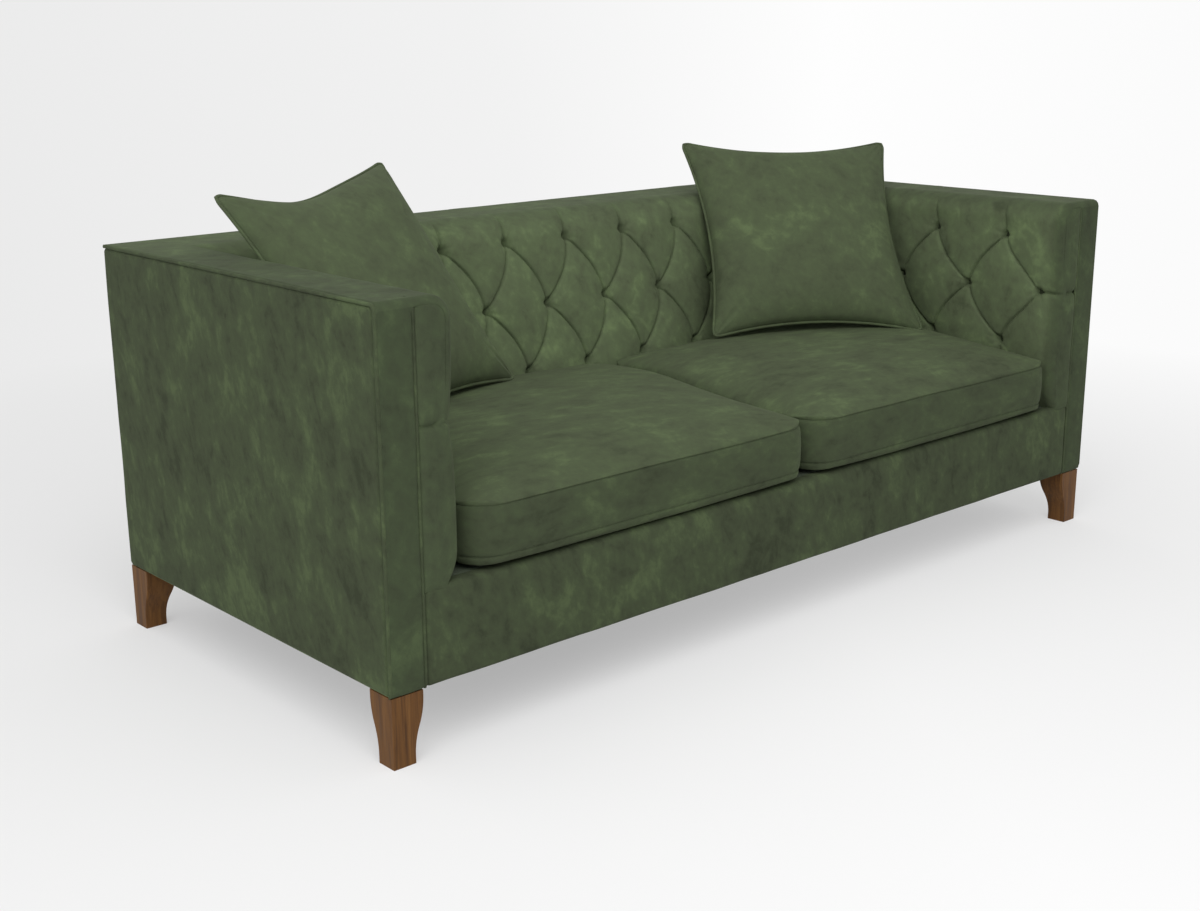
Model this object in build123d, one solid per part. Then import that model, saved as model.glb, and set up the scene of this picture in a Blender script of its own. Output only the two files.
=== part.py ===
from build123d import *
from math import cos, radians, sin, sqrt, tan
import os

os.makedirs("parts", exist_ok=True)

# Three-seater sofa with a deep-buttoned back and arms, in millimetres.
# Seen from the front, +X is to the right, the front faces -Y and +Z is up.
# The origin is on the floor under the middle of the sofa.

# Overall sizes
overall_width = 2100.0
body_depth = 957.0
arm_height = 806.0
leg_height = 131.0
seat_overhang = 10.0
touch_gap = 0.3

# Covers, pads and trim of the fixed upholstery
outside_cover = 5.0
facing_width = 72.0
facing_thickness = 6.0
border_thickness = 16.0
border_top_radius = 12.0
border_bottom_radius = 8.0
top_pad = 22.0
deck_height = 310.0
deck_thickness = 20.0
spring_cover_thickness = 1.5
base_cloth_thickness = 1.5
piping_radius = 4.0
facing_piping_radius = 3.5
webbing_thickness = 2.0
webbing_width = 50.0

# Timber frame
board = 28.0
post_depth = 60.0
top_rail_thickness = 28.0
tack_board = 25.0
tack_width = 45.0
tack_lift = 10.0
seat_back_rail_depth = 50.0
seat_back_rail_height = 100.0
brace_height = 60.0
upright_spread = 660.0

# Legs and their bolts
leg_top = 66.0
leg_foot = 46.0
leg_straight = 16.0
leg_shoulder = 10.0
leg_inset = 4.0
leg_edge_round = 2.5
bolt_radius = 5.0
bolt_in_leg = 48.0
bolt_in_post = 45.0
bolt_fit = 0.2

# Seat springs
spring_count = 10
spring_spacing = 178.0
spring_wire = 4.0
spring_pitch = 32.0
spring_half_bar = 10.0
clip_width = 16.0
clip_depth = 14.0
clip_wall = 2.0
clip_fit = 0.15

# Deep buttoning, shared
button_radius = 9.0
button_height = 6.0
button_round = 3.0
pit_fit = 0.3
pit_slope = 1.1
twine_radius = 1.0
twine_hole = 1.6
family_step = 0.6

# Buttoned inside back
recline = 15.0
back_row_height = 585.5
back_row_pitch = 147.0
back_column_pitch = 178.5
back_columns = 9
back_pit_depth = 216.9
back_pit_over_base = 40.0
back_groove_over_pit = 9.0
back_crown = 30.0
back_top_round = 75.0
back_foot_depth = 300.0

# Buttoned inside arms
arm_row_height = 590.0
arm_row_pitch = 129.0
arm_column_pitch = 204.0
arm_first_button = 58.5
arm_columns = 4
arm_pit_over_base = 56.0
arm_groove_over_pit = 9.0
arm_crown = 21.0
arm_top_round = 45.0
arm_front_round = 22.0
arm_top_front_round = 14.0

# Loose seat cushions
cushion_side_gap = 4.0
cushion_split = 2.0
cushion_back_gap = 6.0
cushion_bottom_rise = 12.0
cushion_border = 106.0
cushion_crown = 50.0
cushion_bulge = 5.0
cushion_corner = 45.0
cushion_foot_inset = 22.0
cover_cloth = 3.0
core_gap = 0.5

# Scatter cushions: side, bulges and where they lean
scatter_side = 524.0
scatter_draw_in = 20.0
scatter_ear = 14.0
scatter_front_bulge = 72.0
scatter_back_bulge = 44.0
scatter_piping_radius = 3.5
scatter_right_from_arm = 271.6
scatter_right_from_back = 385.5
scatter_right_over_deck = 382.2
scatter_right_across = (0.8755, -0.4827, -0.0211)
scatter_right_up = (0.3015, 0.5116, 0.8045)
scatter_left_from_arm = 276.5
scatter_left_from_back = 354.6
scatter_left_over_deck = 385.7
scatter_left_across = (0.9343, 0.3549, 0.0334)
scatter_left_up = (-0.2279, 0.5227, 0.8215)

# Planes that the pieces share
half_width = overall_width / 2
back_face = (body_depth + seat_overhang) / 2
arm_front = back_face - body_depth
frame_side = half_width - outside_cover
pad_side = half_width - facing_width
frame_inside = pad_side + webbing_thickness
frame_front = arm_front + facing_thickness
frame_back = back_face - outside_cover
frame_bottom = leg_height + base_cloth_thickness
frame_top = arm_height - top_pad
post_top = frame_top - top_rail_thickness
deck_bottom = deck_height - deck_thickness
cover_bottom = deck_bottom - spring_cover_thickness
clip_height = spring_wire + 2 * clip_wall
rail_top = cover_bottom - clip_height
border_back = arm_front + border_thickness
front_rail_back = border_back + board
trim = 2 * piping_radius
lean = radians(recline)
arm_groove = arm_pit_over_base + arm_groove_over_pit
arm_crest = arm_groove + arm_crown
inside_half = pad_side - arm_crest
back_groove = back_pit_over_base + back_groove_over_pit
back_crest = back_groove + back_crown
base_depth_at_row = back_pit_depth - back_pit_over_base / cos(lean)
base_row_y = back_face - base_depth_at_row
spring_front = border_back + board / 2


def base_y(z, off=0.0):
    """Y of the plane behind the inside back at height z, moved off mm forwards."""
    return base_row_y + (z - back_row_height) * tan(lean) - off / cos(lean)


def save(name, *solids):
    """Write one node, as one solid or as a group of separate solids."""
    shape = solids[0] if len(solids) == 1 else Compound(children=list(solids))
    export_step(shape, "parts/" + name + ".step")


def save_pair(name, left):
    """Write the left piece and its mirror image on the right."""
    save(name + "_left", *left)
    save(name + "_right", *[mirror(piece, about=Plane.YZ) for piece in left])


def box(x0, x1, y0, y1, z0, z1):
    """A box between two corners."""
    block = Box(x1 - x0, y1 - y0, z1 - z0, align=(Align.MIN, Align.MIN, Align.MIN))
    return Pos(x0, y0, z0) * block


def prism(points, along, start, end):
    """A polygon swept straight: points are (y, z) along X, (x, z) along Y or (x, y) along Z."""
    place = {
        "X": lambda a, b: (start, a, b),
        "Y": lambda a, b: (a, start, b),
        "Z": lambda a, b: (a, b, start),
    }[along]
    way = {"X": (1, 0, 0), "Y": (0, 1, 0), "Z": (0, 0, 1)}[along]
    ring = Wire.make_polygon([place(a, b) for a, b in points], close=True)
    return Solid.extrude(Face(ring), Vector(*way) * (end - start))


def rod(start, end, radius):
    """A round rod between two points."""
    path = Vector(*end) - Vector(*start)
    return Plane(start, z_dir=path) * Cylinder(
        radius, path.length, align=(Align.CENTER, Align.CENTER, Align.MIN)
    )


def scallops(first, count, pitch, row, groove, crown):
    """A face standing on row, whose top is a chain of arcs between grooves."""
    edges = []
    for step in range(count):
        left = first + step * pitch
        edges.append(
            ThreePointArc(
                (left, row, groove),
                (left + pitch / 2, row, groove + crown),
                (left + pitch, row, groove),
            )
        )
    right = first + count * pitch
    edges.append(Line((right, row, groove), (right, row, 0)))
    edges.append(Line((right, row, 0), (first, row, 0)))
    edges.append(Line((first, row, 0), (first, row, groove)))
    return Face(Wire(edges))


def quilt(first, count, pitch, row_pitch, groove, crown, above, below):
    """Diamonds between three button rows, with upright channels above and below them."""
    lower = scallops(first, count, pitch, -row_pitch, groove, crown)
    deeper = scallops(first, count, pitch, -row_pitch, groove - family_step, crown)
    rising = Solid.extrude(lower, Vector(pitch, 2 * row_pitch, 0))
    falling = Solid.extrude(deeper, Vector(-pitch, 2 * row_pitch, 0))
    diamonds = rising & falling
    upper = scallops(first, count, pitch, row_pitch, groove, crown)
    channels = Solid.extrude(upper, Vector(0, above, 0))
    skirts = Solid.extrude(lower, Vector(0, -below, 0))
    return diamonds + channels + skirts


def pit(x, y, floor, top):
    """The funnel that a button pulls into the stuffing, with the hole for its twine."""
    narrow = button_radius + pit_fit
    wide = narrow + (top - floor) * pit_slope
    funnel = Cone(narrow, wide, top - floor, align=(Align.CENTER, Align.CENTER, Align.MIN))
    hole = Cylinder(twine_hole, floor, align=(Align.CENTER, Align.CENTER, Align.MIN))
    return [Pos(x, y, floor) * funnel, Pos(x, y, 0) * hole]


def button(x, y, floor):
    """One covered button, seated on the floor of its pit."""
    disc = Cylinder(button_radius, button_height, align=(Align.CENTER, Align.CENTER, Align.MIN))
    disc = fillet(disc.edges().group_by(Axis.Z)[-1], button_round)
    return Pos(x, y, floor) * disc


def rounded_loft(levels, corner, centre):
    """A solid lofted through rounded rectangles given as (z, width, depth)."""
    sections = []
    for z, width, depth in levels:
        radius = corner * min(1.0, min(width, depth) / (4 * corner))
        sections.append(Plane((centre[0], centre[1], z)) * RectangleRounded(width, depth, radius))
    return loft(sections, ruled=True)


def pillow_ring(half, draw_in, ear, z):
    """A square outline with drawn-in sides and rounded ears, as tangent arcs."""
    core = half - ear
    middle = half - draw_in
    rise = middle - core
    radius = (core**2 + rise**2 - ear**2) / (2 * (ear - rise))
    reach = ear / (radius + ear)
    side = (core - core * reach, core + (middle + radius - core) * reach)
    tip = core + ear / sqrt(2)
    edges = []
    for quarter in range(4):
        turn = Rot(0, 0, 90 * quarter)
        top = ThreePointArc((side[0], side[1], z), (0, middle, z), (-side[0], side[1], z))
        bend = ThreePointArc((-side[0], side[1], z), (-tip, tip, z), (-side[1], side[0], z))
        edges.append(turn * top)
        edges.append(turn * bend)
    return Wire(edges)


def pillow(inset):
    """A scatter cushion lying flat: seam at z 0, front up, all faces inset by inset."""
    half = scatter_side / 2 - inset
    front = scatter_front_bulge - inset
    back = scatter_back_bulge - inset
    rim = scatter_piping_radius
    shares = ((1.0, rim, 1.0), (0.93, 0.34, 0.8), (0.78, 0.68, 0.4), (0.54, 0.90, 0.12), (0.24, 1.0, 0.02))
    sections = []
    for size, rise, draw in reversed(shares):
        height = -rim if rise == rim else -back * rise
        sections.append((size, height, draw))
    for size, rise, draw in shares:
        height = rim if rise == rim else front * rise
        sections.append((size, height, draw))
    faces = []
    for size, height, draw in sections:
        ear = scatter_ear + (1 - size) * 0.5 * half * size
        faces.append(Face(pillow_ring(half * size, scatter_draw_in * draw * size, ear, height)))
    return loft(faces, ruled=True)


# Legs: square, straight on the two outer faces, curving in on the two inner faces
outer_x = -(half_width - leg_inset)
outer_y = arm_front + leg_inset
leg_waist = ((leg_foot + leg_top) / 2, 0, (leg_straight + leg_height - leg_shoulder) / 2)
leg_neck = (leg_top, 0, leg_height - leg_shoulder)
leg_outline = Wire(
    [
        Line((0, 0, 0), (leg_foot, 0, 0)),
        Line((leg_foot, 0, 0), (leg_foot, 0, leg_straight)),
        TangentArc((leg_foot, 0, leg_straight), leg_waist, tangent=(0, 0, 1)),
        TangentArc(leg_neck, leg_waist, tangent=(0, 0, -1)),
        Line(leg_neck, (leg_top, 0, leg_height)),
        Line((leg_top, 0, leg_height), (0, 0, leg_height)),
        Line((0, 0, leg_height), (0, 0, 0)),
    ]
)
leg_across = Solid.extrude(Face(leg_outline), Vector(0, leg_top, 0))
leg_along = mirror(leg_across, about=Plane((0, 0, 0), z_dir=(1, -1, 0)))
leg = leg_across & leg_along
leg_corner = leg.edges().filter_by(Axis.Z).sort_by(Axis.X)[0]
leg = fillet(leg_corner, leg_edge_round)
leg_middle = leg_top / 2
leg_hole = rod(
    (leg_middle, leg_middle, leg_height - bolt_in_leg),
    (leg_middle, leg_middle, leg_height),
    bolt_radius + bolt_fit,
)
leg = Pos(outer_x, outer_y, 0) * (leg - leg_hole)
middle_of_body = Plane((0, (arm_front + back_face) / 2, 0), z_dir=(0, 1, 0))
save_pair("leg_front", [leg])
save_pair("leg_back", [mirror(leg, about=middle_of_body)])
bolt_x = -outer_x - leg_middle
bolt_front = outer_y + leg_middle
bolt_back = arm_front + back_face - bolt_front
bolt_spots = [(x, y) for x in (-bolt_x, bolt_x) for y in (bolt_front, bolt_back)]
bolt_top = frame_bottom + bolt_in_post
bolts = [rod((x, y, leg_height - bolt_in_leg), (x, y, bolt_top), bolt_radius) for x, y in bolt_spots]
save("leg_bolts", *bolts)
bolt_ways = [rod((x, y, 0), (x, y, bolt_top), bolt_radius + bolt_fit) for x, y in bolt_spots]

# Timber frame of the seat
front_rail = box(-frame_inside, frame_inside, border_back, front_rail_back, frame_bottom, rail_top)
back_rail = box(-frame_inside, frame_inside, frame_back - board, frame_back, frame_bottom, rail_top)
seat_back_front = base_y(rail_top) - seat_back_rail_depth / 2
seat_back_end = seat_back_front + seat_back_rail_depth
side_inner = frame_side - board
post_front_end = frame_front + post_depth
post_back_start = frame_back - post_depth
seat_back_rail = box(
    -side_inner, side_inner, seat_back_front, seat_back_end, rail_top - seat_back_rail_height, rail_top
)
side_rail = box(-frame_side, -side_inner, post_front_end, post_back_start, frame_bottom, rail_top)
brace = box(-board / 2, board / 2, front_rail_back, frame_back - board, frame_bottom, frame_bottom + brace_height)
save("front_seat_rail", front_rail)
save("back_bottom_rail", back_rail)
save("seat_back_rail", seat_back_rail - brace)
save("seat_brace", brace)
save_pair("side_rail", [side_rail])

# Timber frame of the arms
front_post = box(-frame_side, -frame_inside, frame_front, post_front_end, frame_bottom, post_top)
back_post = box(-frame_side, -frame_inside, post_back_start, frame_back, frame_bottom, post_top)
arm_rail = box(-frame_side, -frame_inside, frame_front, frame_back, post_top, frame_top)
tack_bottom = deck_height + tack_lift
arm_tack = box(
    -frame_inside - tack_board, -frame_inside, post_front_end, post_back_start,
    tack_bottom, tack_bottom + tack_width,
)
save_pair("arm_front_post", [front_post - bolt_ways])
save_pair("back_corner_post", [back_post - bolt_ways])
save_pair("arm_top_rail", [arm_rail])
save_pair("arm_tack_rail", [arm_tack])

# Timber frame of the back: wedge uprights, top rail and tack rail
def wedge(z0, z1):
    """Back-frame outline between two heights, upright behind and reclined in front."""
    front = [(base_y(z1, -webbing_thickness), z1), (base_y(z0, -webbing_thickness), z0)]
    return [(frame_back, z0), (frame_back, z1)] + front


back_top_rail = prism(wedge(post_top, frame_top), "X", -frame_inside, frame_inside)
tack_foot = (base_y(tack_bottom, -webbing_thickness), tack_bottom)
tack_run = (sin(lean) * tack_width, cos(lean) * tack_width)
tack_in = (cos(lean) * tack_board, -sin(lean) * tack_board)
tack_points = [
    tack_foot,
    (tack_foot[0] + tack_run[0], tack_foot[1] + tack_run[1]),
    (tack_foot[0] + tack_run[0] + tack_in[0], tack_foot[1] + tack_run[1] + tack_in[1]),
    (tack_foot[0] + tack_in[0], tack_foot[1] + tack_in[1]),
]
back_tack = prism(tack_points, "X", -frame_inside, frame_inside)
upright = prism(wedge(rail_top, post_top), "X", -board / 2, board / 2) - back_tack
save("back_top_rail", back_top_rail)
save("back_tack_rail", back_tack)
save_pair("back_upright", [Pos(-upright_spread / 2, 0, 0) * upright])

# Zigzag seat springs, their clips, the spring cover and the deck pad
spring_back = seat_back_front + clip_depth
bend_count = int((spring_back - spring_front) / spring_pitch)
bar_step = (spring_back - spring_front) / bend_count
spring_z = rail_top + clip_height / 2
spring_edges = []
for bar in range(bend_count + 1):
    hand = 1 if bar % 2 == 0 else -1
    y = spring_front + bar * bar_step
    spring_edges.append(Line((-hand * spring_half_bar, y, spring_z), (hand * spring_half_bar, y, spring_z)))
    if bar < bend_count:
        spring_edges.append(
            ThreePointArc(
                (hand * spring_half_bar, y, spring_z),
                (hand * (spring_half_bar + bar_step / 2), y + bar_step / 2, spring_z),
                (hand * spring_half_bar, y + bar_step, spring_z),
            )
        )
spring_path = Wire(spring_edges)
spring_ring = Plane((-spring_half_bar, spring_front, spring_z), z_dir=(1, 0, 0)) * Circle(spring_wire / 2)
spring = sweep(spring_ring, path=spring_path)
clip_ends = [spring_front, spring_back]
clips = []
for y in clip_ends:
    clip = box(
        -clip_width / 2, clip_width / 2, y - clip_depth / 2, y + clip_depth / 2, rail_top, rail_top + clip_height
    )
    channel = rod((-clip_width, y, spring_z), (clip_width, y, spring_z), spring_wire / 2 + clip_fit)
    clips.append(clip - channel)
spring_x = [(step - (spring_count - 1) / 2) * spring_spacing for step in range(spring_count)]
save("seat_springs", *[Pos(x, 0, 0) * spring for x in spring_x])
save("spring_clips", *[Pos(x, 0, 0) * clip for x in spring_x for clip in clips])
deck_back = base_y(deck_bottom)
save("spring_cover", box(-pad_side, pad_side, border_back, deck_back, cover_bottom, deck_bottom))
save("deck_pad", box(-pad_side, pad_side, border_back, deck_back, deck_bottom, deck_height))

# Buttoned inside back, built flat on its own plane and then leaned back
back_plane = Plane(
    (0, base_row_y, back_row_height), x_dir=(1, 0, 0), z_dir=(0, -cos(lean), sin(lean))
)
back_top = [(x * back_column_pitch, row) for x in range(-(back_columns // 2), back_columns // 2 + 1)
            for row in (-back_row_pitch, back_row_pitch)]
back_mid = [((x + 0.5) * back_column_pitch, 0.0) for x in range(-(back_columns // 2) - 1, back_columns // 2 + 1)]
back_spots = back_top + back_mid
back_span = back_columns + 5
back_quilt = back_plane.location * quilt(
    -back_span / 2 * back_column_pitch, back_span, back_column_pitch, back_row_pitch,
    back_groove, back_crown, arm_height - deck_height, arm_height - deck_height,
)
crest_top = base_y(arm_height, back_crest)
crest_foot_z = back_row_height - (base_row_y - back_crest / cos(lean) - back_face + back_foot_depth) / tan(lean)
back_hull = prism(
    [
        (frame_back, frame_top),
        (frame_back, arm_height - trim),
        (back_face - trim, arm_height - trim),
        (back_face - trim, arm_height),
        (crest_top, arm_height),
        (back_face - back_foot_depth, crest_foot_z),
        (back_face - back_foot_depth, deck_height),
        (base_y(deck_height), deck_height),
        (base_y(frame_top), frame_top),
    ],
    "X", -inside_half + touch_gap, inside_half - touch_gap,
)
crest_edge = back_hull.edges().filter_by(Axis.X).filter_by_position(Axis.Z, arm_height - 1, arm_height + 1)
back_hull = fillet(crest_edge.sort_by(Axis.Y)[0], back_top_round)
back_pits = []
for x, y in back_spots:
    back_pits += pit(x, y, back_pit_over_base, back_crest)
over_top = box(-half_width, half_width, base_y(frame_top) - top_pad, back_face, frame_top, arm_height)
back_pad = back_hull & (back_quilt + over_top)
back_pad = back_pad - [back_plane.location * piece for piece in back_pits]
save("inside_back", back_pad)
save("back_buttons", *[back_plane.location * button(x, y, back_pit_over_base) for x, y in back_spots])
back_twines = [back_plane.location * rod((x, y, 0), (x, y, back_pit_over_base), twine_radius) for x, y in back_spots]
strap_foot = (tack_bottom - back_row_height) / cos(lean)
strap_head = (frame_top - back_row_height) / cos(lean)
back_straps = []
for x in sorted({spot[0] for spot in back_spots}):
    strap = box(x - webbing_width / 2, x + webbing_width / 2, strap_foot, strap_head, -webbing_thickness, 0)
    back_straps.append(back_plane.location * strap)
save("back_webbing", *back_straps)

# Buttoned inside arm, left, built on the upright plane of its webbing
arm_first = arm_front + arm_first_button
arm_plane = Plane((-pad_side, arm_first, arm_row_height), x_dir=(0, 1, 0), z_dir=(1, 0, 0))
arm_mid = [(step * arm_column_pitch, 0.0) for step in range(arm_columns)]
arm_rows = [((step + 0.5) * arm_column_pitch, row) for step in range(arm_columns - 1)
            for row in (-arm_row_pitch, arm_row_pitch)]
arm_spots = arm_mid + arm_rows
arm_span = arm_columns + 5
arm_quilt = arm_plane.location * quilt(
    -2.5 * arm_column_pitch, arm_span, arm_column_pitch, arm_row_pitch,
    arm_groove, arm_crown, arm_height - deck_height, arm_height - deck_height,
)
arm_outline = [
    (-frame_side, frame_top),
    (-frame_side, arm_height - trim),
    (-half_width + trim, arm_height - trim),
    (-half_width + trim, arm_height),
    (-inside_half, arm_height),
    (-inside_half, deck_height),
    (-pad_side, deck_height),
    (-pad_side, frame_top),
]
arm_turn = base_y(frame_top)
arm_hull = prism(arm_outline, "Y", arm_front, arm_turn)
top_edges = arm_hull.edges().filter_by(Axis.Y).sort_by(Axis.X)
arm_hull = fillet(top_edges.filter_by_position(Axis.Z, arm_height - 1, arm_height + 1)[-1], arm_top_round)
front_top = arm_hull.edges().filter_by(Axis.X).filter_by_position(Axis.Z, arm_height - 1, arm_height + 1)
arm_hull = fillet(front_top.sort_by(Axis.Y)[0], arm_top_front_round)
arm_corner = prism(arm_outline, "Y", arm_turn, frame_back)
arm_corner = arm_corner - box(-half_width, 0, back_face - trim, back_face, arm_height - trim, arm_height)
behind = [(frame_back + outside_cover, deck_height), (frame_back + outside_cover, frame_top)]
behind += [(base_y(frame_top, -webbing_thickness), frame_top), (base_y(deck_height, -webbing_thickness), deck_height)]
back_frame_room = prism(behind, "X", -pad_side, -inside_half + arm_crown)
piping_room = box(
    -pad_side, -pad_side + 2 * facing_piping_radius, arm_front, arm_front + 2 * facing_piping_radius,
    deck_height, frame_top,
)
arm_over_top = box(-half_width, -pad_side + arm_groove, arm_front, arm_turn, frame_top, arm_height)
arm_pits = []
for x, y in arm_spots:
    arm_pits += pit(x, y, arm_pit_over_base, arm_crest)
arm_pad = (arm_hull & (arm_quilt + arm_over_top)) + arm_corner
arm_pad = arm_pad - [arm_plane.location * piece for piece in arm_pits] - back_frame_room - piping_room
save_pair("inside_arm", [arm_pad])
save_pair("arm_buttons", [arm_plane.location * button(x, y, arm_pit_over_base) for x, y in arm_spots])
arm_twines = [arm_plane.location * rod((x, y, 0), (x, y, arm_pit_over_base), twine_radius) for x, y in arm_spots]
arm_straps = []
for x in sorted({spot[0] for spot in arm_spots}):
    arm_straps.append(
        arm_plane.location * box(
            x - webbing_width / 2, x + webbing_width / 2, tack_bottom - arm_row_height,
            frame_top - arm_row_height, -webbing_thickness, 0,
        )
    )
save_pair("arm_webbing", arm_straps)
save("button_twines", *back_twines, *arm_twines, *[mirror(twine, about=Plane.YZ) for twine in arm_twines])

# Outside covers, facings, front border, base cloth and piping
cover_top = arm_height - trim
outside_arm = box(-half_width, -frame_side, frame_front, back_face, leg_height, cover_top)
facing = box(-half_width, -pad_side, arm_front, frame_front, leg_height, frame_top)
save_pair("outside_arm", [outside_arm])
save_pair("front_facing", [facing])
save("outside_back", box(-frame_side, frame_side, frame_back, back_face, leg_height, cover_top))
border_half = pad_side - 2 * facing_piping_radius
border = box(-border_half, border_half, arm_front, border_back, leg_height, deck_height)
border_edges = border.edges().filter_by(Axis.X).sort_by(Axis.Y)[:2].sort_by(Axis.Z)
border = fillet(border_edges[1], border_top_radius)
border_edges = border.edges().filter_by(Axis.X).sort_by(Axis.Z)[:2].sort_by(Axis.Y)
border = fillet(border_edges[0], border_bottom_radius)
save("front_border", border)
base_cloth = box(-frame_side, frame_side, frame_front, frame_back, leg_height, frame_bottom)
base_cloth = base_cloth - box(-pad_side, pad_side, arm_front, border_back, 0, deck_height)
save("base_cloth", base_cloth - bolt_ways)
pipe_x = half_width - piping_radius
pipe_y = back_face - piping_radius
pipe_z = arm_height - piping_radius
arm_piping = rod((-pipe_x, frame_front, pipe_z), (-pipe_x, back_face - trim, pipe_z), piping_radius)
save_pair("arm_piping", [arm_piping])
save("back_piping", rod((-half_width, pipe_y, pipe_z), (half_width, pipe_y, pipe_z), piping_radius))
seam_x = pad_side - facing_piping_radius
seam_y = arm_front + facing_piping_radius
facing_piping = rod((-seam_x, seam_y, leg_height), (-seam_x, seam_y, frame_top), facing_piping_radius)
save_pair("facing_piping", [facing_piping])

# Loose seat cushions: a sewn cover round a foam core
cushion_side = inside_half - cushion_side_gap
cushion_width = cushion_side - cushion_split / 2 - 2 * cushion_bulge
cushion_front = arm_front - seat_overhang + cushion_bulge
cushion_back = back_face - back_foot_depth - cushion_back_gap - cushion_bulge
cushion_depth = cushion_back - cushion_front
cushion_bottom = deck_height + touch_gap
seam_low = cushion_bottom + cushion_bottom_rise
seam_high = seam_low + cushion_border
cushion_middle = (-(cushion_side + cushion_split / 2) / 2, (cushion_front + cushion_back) / 2)


def seat_cushion(inset):
    """A boxed seat cushion with a crowned top, all faces inset by inset."""
    steps = (
        (cushion_bottom + inset, cushion_foot_inset),
        (seam_low + inset / 2, 0.0),
        ((seam_low + seam_high) / 2, -cushion_bulge),
        (seam_high - inset / 2, 0.0),
        (seam_high + cushion_crown * 0.45 - inset, 40.0),
        (seam_high + cushion_crown * 0.78 - inset, 110.0),
        (seam_high + cushion_crown - inset, 215.0),
    )
    levels = []
    for z, drawn in steps:
        cut = 2 * (drawn + inset)
        levels.append((z, cushion_width - cut, cushion_depth - cut))
    return rounded_loft(levels, cushion_corner, cushion_middle)


seat_cover = seat_cushion(0.0) - seat_cushion(cover_cloth)
save_pair("seat_cover", [seat_cover])
save_pair("seat_core", [seat_cushion(cover_cloth + core_gap)])

# Scatter cushions: a piped cover round a filling
scatter_cover = pillow(0.0) - pillow(cover_cloth)
scatter_core = pillow(cover_cloth + core_gap)
ring = pillow_ring(
    scatter_side / 2 + scatter_piping_radius + touch_gap, scatter_draw_in,
    scatter_ear + scatter_piping_radius + touch_gap, 0,
)
start = ring.position_at(0)
piping_ring = Plane(start, z_dir=ring.tangent_at(0)) * Circle(scatter_piping_radius)
scatter_piping = sweep(piping_ring, path=ring)
scatter_right_centre = (
    inside_half - scatter_right_from_arm,
    back_face - scatter_right_from_back,
    deck_height + scatter_right_over_deck,
)
scatter_left_centre = (
    scatter_left_from_arm - inside_half,
    back_face - scatter_left_from_back,
    deck_height + scatter_left_over_deck,
)
for hand, centre, across, up in (
    ("right", scatter_right_centre, scatter_right_across, scatter_right_up),
    ("left", scatter_left_centre, scatter_left_across, scatter_left_up),
):
    facing_out = Vector(*across).cross(Vector(*up))
    lay = Plane(centre, x_dir=across, z_dir=facing_out).location
    save("scatter_cover_" + hand, lay * scatter_cover)
    save("scatter_filling_" + hand, lay * scatter_core)
    save("scatter_piping_" + hand, lay * scatter_piping)
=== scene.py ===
import math

import bpy
import numpy as np
from mathutils import Matrix, Vector


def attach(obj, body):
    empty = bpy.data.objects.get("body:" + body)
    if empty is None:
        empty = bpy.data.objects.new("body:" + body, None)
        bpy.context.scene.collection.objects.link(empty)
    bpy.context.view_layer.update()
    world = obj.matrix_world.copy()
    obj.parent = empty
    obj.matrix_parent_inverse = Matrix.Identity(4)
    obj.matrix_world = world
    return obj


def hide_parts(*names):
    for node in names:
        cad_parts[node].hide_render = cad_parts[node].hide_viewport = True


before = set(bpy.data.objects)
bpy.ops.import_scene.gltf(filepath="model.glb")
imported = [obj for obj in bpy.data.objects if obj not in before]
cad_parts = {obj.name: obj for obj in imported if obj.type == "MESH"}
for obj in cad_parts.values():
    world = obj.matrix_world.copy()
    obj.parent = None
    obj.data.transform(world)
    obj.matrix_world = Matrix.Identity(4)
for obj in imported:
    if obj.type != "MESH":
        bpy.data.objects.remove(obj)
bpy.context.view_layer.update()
scene = bpy.context.scene

# Main sizes of the sofa, in metres, as in the part's source.
half_width = 1.050
back_face = 0.4835
arm_front = -0.4735
arm_top = 0.806
base_height = 0.131
deck_height = 0.310
pad_side = 0.978
inside_half = 0.892
pad_rear = 0.4755
panel_top = 0.8020
strip_seam = pad_side - 0.0035


# Small mesh and number helpers.

def noise(points, scale, seed=0):
    """Smooth value noise from -1 to 1 at each point."""
    scaled = np.asarray(points, float) * scale + seed * 17.31
    cell = np.floor(scaled).astype(np.int64)
    part = scaled - cell
    part = part * part * (3 - 2 * part)
    total = np.zeros(len(scaled))
    for corner in range(8):
        step = np.array([corner & 1, corner >> 1 & 1, corner >> 2 & 1])
        key = ((cell + step) * np.array([374761393, 668265263, 1442695041])).sum(1) + seed * 7919
        key = (key ^ (key >> 13)) * 1274126177
        key = key ^ (key >> 16)
        value = (key & 0xFFFF) / 32767.5 - 1
        total += value * np.prod(np.where(step, part, 1 - part), axis=1)
    return total


def smooth_step(value, start, end):
    t = np.clip((value - start) / (end - start), 0, 1)
    return t * t * (3 - 2 * t)


def grid_faces(rows, columns, flip=False):
    index = np.arange(rows * columns).reshape(rows, columns)
    corners = [index[:-1, :-1], index[:-1, 1:], index[1:, 1:], index[1:, :-1]]
    faces = np.stack(corners, -1).reshape(-1, 4)
    return faces[:, ::-1] if flip else faces


def split_faces(rows, columns, first_way, flip=False):
    """Triangles of a grid, each cell cut along the pleat that is nearest to it."""
    index = np.arange(rows * columns).reshape(rows, columns)
    a, b = index[:-1, :-1].ravel(), index[:-1, 1:].ravel()
    c, d = index[1:, 1:].ravel(), index[1:, :-1].ravel()
    one = first_way.ravel()
    low = np.where(one[:, None], np.stack([a, b, c], 1), np.stack([a, b, d], 1))
    high = np.where(one[:, None], np.stack([a, c, d], 1), np.stack([b, c, d], 1))
    faces = np.concatenate([low, high])
    return faces[:, ::-1] if flip else faces


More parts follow.
